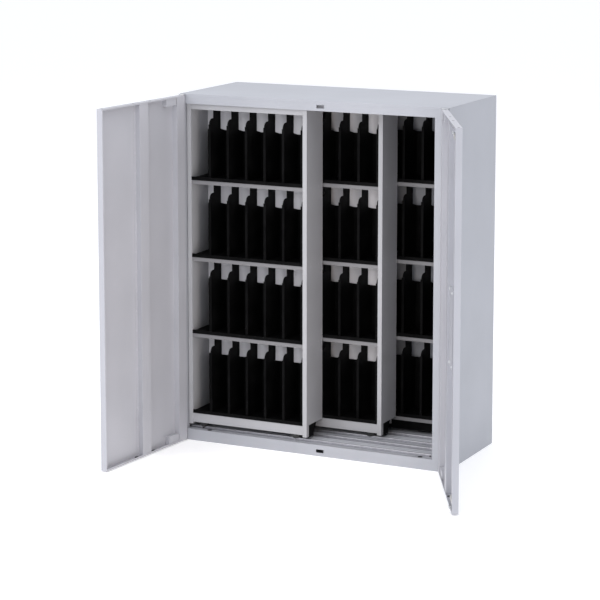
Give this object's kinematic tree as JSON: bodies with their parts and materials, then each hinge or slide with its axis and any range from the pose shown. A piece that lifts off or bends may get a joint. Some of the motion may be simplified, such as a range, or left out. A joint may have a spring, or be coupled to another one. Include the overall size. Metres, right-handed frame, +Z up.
{
  "type": "office storage cabinet",
  "caption": "Low two-door steel cabinet with sliding divider carriers on floor tracks in front of a fixed divider rack",
  "frame": {"origin": "centre of the body's footprint, on the floor", "axes": "+X to the right seen from the front, +Y to the back, +Z up"},
  "size_m": [1.1322, 0.8269, 1.1],
  "materials": {
    "cabinet_paint": "satin light grey powder coat",
    "rack_paint": "satin warm grey powder coat",
    "divider_plastic": "black moulded",
    "zinc_steel": "zinc plated",
    "nylon": "natural nylon",
    "rubber": "matt black"
  },
  "bodies": {
    "cabinet": {"left_side_panel": "cabinet_paint", "right_side_panel": "cabinet_paint", "top_panel": "cabinet_paint", "back_panel": "cabinet_paint", "rear_base_rail": "cabinet_paint", "base_cross_members": "cabinet_paint", "floor_pan": "cabinet_paint", "top_front_rail": "cabinet_paint", "bottom_front_rail": "cabinet_paint", "right_front_post": "cabinet_paint", "front_row_tracks": "zinc_steel", "middle_row_tracks": "zinc_steel", "ceiling_guides": "zinc_steel", "buffers": "rubber", "levelling_feet": "zinc_steel", "adjuster_caps": "divider_plastic", "left_hinge_brackets": "zinc_steel", "right_hinge_brackets": "zinc_steel", "rear_uprights": "rack_paint", "rear_shelves": "rack_paint", "rear_trays": "divider_plastic", "rear_left_dividers": "divider_plastic", "rear_right_dividers": "divider_plastic"},
    "front_carrier": {"front_carrier_left_side": "rack_paint", "front_carrier_right_side": "rack_paint", "front_carrier_back": "rack_paint", "front_carrier_top": "rack_paint", "front_carrier_shelves": "rack_paint", "front_carrier_base": "rack_paint", "front_carrier_trays": "divider_plastic", "front_carrier_dividers": "divider_plastic", "front_carrier_wheel_brackets": "zinc_steel", "front_carrier_guide_blocks": "nylon"},
    "front_carrier_left_wheels": {"front_carrier_left_wheels": "nylon"},
    "front_carrier_right_wheels": {"front_carrier_right_wheels": "nylon"},
    "middle_carrier": {"middle_carrier_left_side": "rack_paint", "middle_carrier_right_side": "rack_paint", "middle_carrier_back": "rack_paint", "middle_carrier_top": "rack_paint", "middle_carrier_shelves": "rack_paint", "middle_carrier_base": "rack_paint", "middle_carrier_trays": "divider_plastic", "middle_carrier_dividers": "divider_plastic", "middle_carrier_wheel_brackets": "zinc_steel", "middle_carrier_guide_blocks": "nylon"},
    "middle_carrier_left_wheels": {"middle_carrier_left_wheels": "nylon"},
    "middle_carrier_right_wheels": {"middle_carrier_right_wheels": "nylon"},
    "left_door": {"left_door_panel": "cabinet_paint", "left_door_stiffener": "cabinet_paint", "left_door_pivot_blocks": "cabinet_paint"},
    "right_door": {"right_door_panel": "cabinet_paint", "right_door_stiffener": "cabinet_paint", "right_door_pivot_blocks": "cabinet_paint", "lock_case": "cabinet_paint", "rod_guides": "nylon", "handle_dish": "zinc_steel"},
    "handle": {"handle": "zinc_steel"},
    "upper_latch_rod": {"upper_latch_rod": "zinc_steel"},
    "lower_latch_rod": {"lower_latch_rod": "zinc_steel"},
    "lock_cylinder": {"lock_cylinder": "zinc_steel"}
  },
  "joints": [
    {"name": "front_carrier_slide", "type": "slide", "parent": "cabinet", "child": "front_carrier", "axis": [1, 0, 0], "range_m": [0, 0.453]},
    {"name": "middle_carrier_slide", "type": "slide", "parent": "cabinet", "child": "middle_carrier", "axis": [1, 0, 0], "range_m": [-0.198, 0.255]},
    {"name": "left_door_hinge", "type": "hinge", "parent": "cabinet", "child": "left_door", "pos_m": [-0.439, -0.2, 0.55], "axis": [0, 0, 1], "range_deg": [-85.5, 94.5]},
    {"name": "right_door_hinge", "type": "hinge", "parent": "cabinet", "child": "right_door", "pos_m": [0.439, -0.2, 0.55], "axis": [0, 0, 1], "range_deg": [-117.5, 62.5]},
    {"name": "handle_turn", "type": "hinge", "parent": "right_door", "child": "handle", "pos_m": [0.61954, -0.54682, 0.526], "axis": [-0.887, -0.4617, 0], "range_deg": [0, 90]},
    {"name": "upper_rod_slide", "type": "slide", "parent": "right_door", "child": "upper_latch_rod", "axis": [0, 0, 1], "range_m": [0, 0.0065]},
    {"name": "lower_rod_slide", "type": "slide", "parent": "right_door", "child": "lower_latch_rod", "axis": [0, 0, -1], "range_m": [0, 0.0065]},
    {"name": "lock_turn", "type": "hinge", "parent": "right_door", "child": "lock_cylinder", "pos_m": [0.61954, -0.54682, 0.578], "axis": [-0.887, -0.4617, 0], "range_deg": [0, 90]},
    {"name": "front_carrier_left_wheels_spin", "type": "hinge", "parent": "front_carrier", "child": "front_carrier_left_wheels", "pos_m": [-0.388, -0.126, 0.0563], "axis": [0, 1, 0], "continuous": true},
    {"name": "front_carrier_right_wheels_spin", "type": "hinge", "parent": "front_carrier", "child": "front_carrier_right_wheels", "pos_m": [-0.065, -0.126, 0.0563], "axis": [0, 1, 0], "continuous": true},
    {"name": "middle_carrier_left_wheels_spin", "type": "hinge", "parent": "middle_carrier", "child": "middle_carrier_left_wheels", "pos_m": [-0.19, -0.005, 0.0563], "axis": [0, 1, 0], "continuous": true},
    {"name": "middle_carrier_right_wheels_spin", "type": "hinge", "parent": "middle_carrier", "child": "middle_carrier_right_wheels", "pos_m": [0.133, -0.005, 0.0563], "axis": [0, 1, 0], "continuous": true}
  ],
  "couplings": [
    {"joint": "handle_turn", "follows": "upper_rod_slide", "rad_per_m": 241.66},
    {"joint": "lower_rod_slide", "follows": "upper_rod_slide", "ratio": 1},
    {"joint": "front_carrier_left_wheels_spin", "follows": "front_carrier_slide", "rad_per_m": 76.923},
    {"joint": "front_carrier_right_wheels_spin", "follows": "front_carrier_slide", "rad_per_m": 76.923},
    {"joint": "middle_carrier_left_wheels_spin", "follows": "middle_carrier_slide", "rad_per_m": 76.923},
    {"joint": "middle_carrier_right_wheels_spin", "follows": "middle_carrier_slide", "rad_per_m": 76.923}
  ]
}
